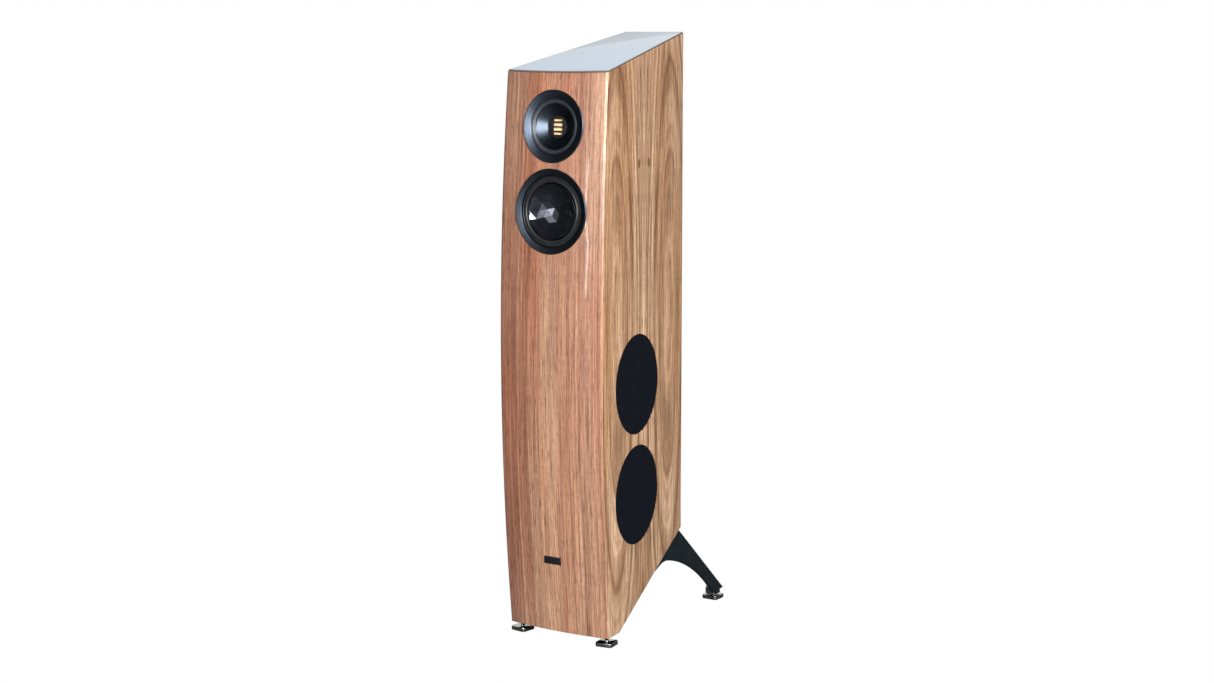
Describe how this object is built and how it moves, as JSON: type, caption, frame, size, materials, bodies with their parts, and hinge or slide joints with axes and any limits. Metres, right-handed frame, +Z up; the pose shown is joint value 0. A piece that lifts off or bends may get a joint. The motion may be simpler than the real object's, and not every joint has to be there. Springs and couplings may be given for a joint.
{
  "type": "floorstanding speaker",
  "caption": "Tall tapered walnut loudspeaker cabinet with bowed front, folded-foil tweeter, faceted midrange, side woofers under round cloth grilles, splayed rear legs and levelling feet.",
  "frame": {"origin": "centre of the bounding box in plan, at the undersides of the feet", "axes": "+Z up, -Y out of the front baffle, +X out of the side that carries the woofer grilles"},
  "size_m": [0.235, 0.473, 1.1627],
  "materials": {
    "walnut_veneer": "vertical-grain walnut veneer under semi-gloss lacquer",
    "black_board": "black-painted fibreboard",
    "grey_glass": "float glass painted pale grey-blue on its back",
    "satin_metal": "satin black coating on cast alloy",
    "grey_metal": "dark grey anodised, fine turned",
    "gold_foil": "gold-coloured folded foil",
    "magnet_iron": "phosphated",
    "surround_rubber": "matt",
    "cone_lacquer": "glossy black faceted",
    "cone_paper": "coated pulp, matt",
    "damper_cloth": "resin-stiffened woven cloth",
    "black_plastic": "fine moulded texture",
    "grille_cloth": "stretched black speaker cloth",
    "leg_paint": "satin black powder coat",
    "screw_steel": "black oxide",
    "chrome": "mirror polished",
    "plated_brass": "gold plated",
    "circuit_board": "solder resist",
    "badge_metal": "dark satin plate"
  },
  "bodies": {
    "root": {"front_baffle": "walnut_veneer", "side_panel_right": "walnut_veneer", "side_panel_left": "walnut_veneer", "back_panel": "walnut_veneer", "roof_panel": "black_board", "bottom_panel": "black_board", "sloped_base_panel": "black_board", "divider_shelf": "black_board", "window_brace": "black_board", "top_glass": "grey_glass", "tweeter_trim_ring": "satin_metal", "tweeter_pole_plate": "satin_metal", "mid_trim_ring": "satin_metal", "mid_basket": "satin_metal", "woofer_upper_basket": "satin_metal", "woofer_lower_basket": "satin_metal", "tweeter_waveguide": "grey_metal", "tweeter_foil": "gold_foil", "tweeter_magnet": "magnet_iron", "mid_magnet": "magnet_iron", "woofer_upper_magnet": "magnet_iron", "woofer_lower_magnet": "magnet_iron", "mid_surround": "surround_rubber", "woofer_upper_surround": "surround_rubber", "woofer_lower_surround": "surround_rubber", "mid_spider": "damper_cloth", "woofer_upper_spider": "damper_cloth", "woofer_lower_spider": "damper_cloth", "mid_chamber": "black_plastic", "port_tube": "black_plastic", "terminal_plate": "black_plastic", "rear_leg_right": "leg_paint", "rear_leg_left": "leg_paint", "leg_screw_right_1": "screw_steel", "leg_screw_right_2": "screw_steel", "leg_screw_left_1": "screw_steel", "leg_screw_left_2": "screw_steel", "rear_foot_boss_right": "chrome", "rear_foot_boss_left": "chrome", "binding_post_right": "plated_brass", "binding_post_left": "plated_brass", "crossover_board": "circuit_board", "badge": "badge_metal"},
    "mid_cone": {"mid_cone": "cone_lacquer"},
    "woofer_upper_cone": {"woofer_upper_cone": "cone_paper"},
    "woofer_lower_cone": {"woofer_lower_cone": "cone_paper"},
    "grille_upper": {"grille_upper_frame": "black_plastic", "grille_upper_cloth": "grille_cloth"},
    "grille_lower": {"grille_lower_frame": "black_plastic", "grille_lower_cloth": "grille_cloth"},
    "binding_knob_right": {"binding_knob_right": "black_plastic"},
    "binding_knob_left": {"binding_knob_left": "black_plastic"},
    "front_foot_right": {"front_foot_right_plate": "chrome", "front_foot_right_stem": "chrome"},
    "front_foot_left": {"front_foot_left_plate": "chrome", "front_foot_left_stem": "chrome"},
    "rear_foot_right": {"rear_foot_right_plate": "chrome", "rear_foot_right_stem": "chrome"},
    "rear_foot_left": {"rear_foot_left_plate": "chrome", "rear_foot_left_stem": "chrome"}
  },
  "joints": [
    {"name": "mid_cone_slide", "type": "slide", "parent": "root", "child": "mid_cone", "axis": [0, -0.9988, 0.0486], "range_m": [-0.003, 0.003], "stiffness_N_per_m": 1500, "deforming": ["mid_surround", "mid_spider"]},
    {"name": "woofer_upper_cone_slide", "type": "slide", "parent": "root", "child": "woofer_upper_cone", "axis": [0.9909, 0.1348, 0], "range_m": [-0.006, 0.006], "stiffness_N_per_m": 1200, "deforming": ["woofer_upper_surround", "woofer_upper_spider"]},
    {"name": "woofer_lower_cone_slide", "type": "slide", "parent": "root", "child": "woofer_lower_cone", "axis": [0.9909, 0.1348, 0], "range_m": [-0.006, 0.006], "stiffness_N_per_m": 1200, "deforming": ["woofer_lower_surround", "woofer_lower_spider"]},
    {"name": "grille_upper_lift_off", "type": "slide", "parent": "root", "child": "grille_upper", "axis": [0.9909, 0.1348, 0], "range_m": [0, 0.03]},
    {"name": "grille_lower_lift_off", "type": "slide", "parent": "root", "child": "grille_lower", "axis": [0.9909, 0.1348, 0], "range_m": [0, 0.03]},
    {"name": "front_foot_right_level", "type": "slide", "parent": "root", "child": "front_foot_right", "axis": [0, 0, 1], "range_m": [-0.008, 0.004]},
    {"name": "front_foot_left_level", "type": "slide", "parent": "root", "child": "front_foot_left", "axis": [0, 0, 1], "range_m": [-0.008, 0.004]},
    {"name": "rear_foot_right_level", "type": "slide", "parent": "root", "child": "rear_foot_right", "axis": [0, 0, 1], "range_m": [-0.008, 0.0012]},
    {"name": "rear_foot_left_level", "type": "slide", "parent": "root", "child": "rear_foot_left", "axis": [0, 0, 1], "range_m": [-0.008, 0.0012]},
    {"name": "binding_knob_right_turn", "type": "hinge", "parent": "root", "child": "binding_knob_right", "pos_m": [0.0095, 0.147, 0.235], "axis": [0, 1, 0], "range_deg": [0, 1080]},
    {"name": "binding_knob_left_turn", "type": "hinge", "parent": "root", "child": "binding_knob_left", "pos_m": [-0.0095, 0.147, 0.235], "axis": [0, 1, 0], "range_deg": [0, 1080]}
  ]
}
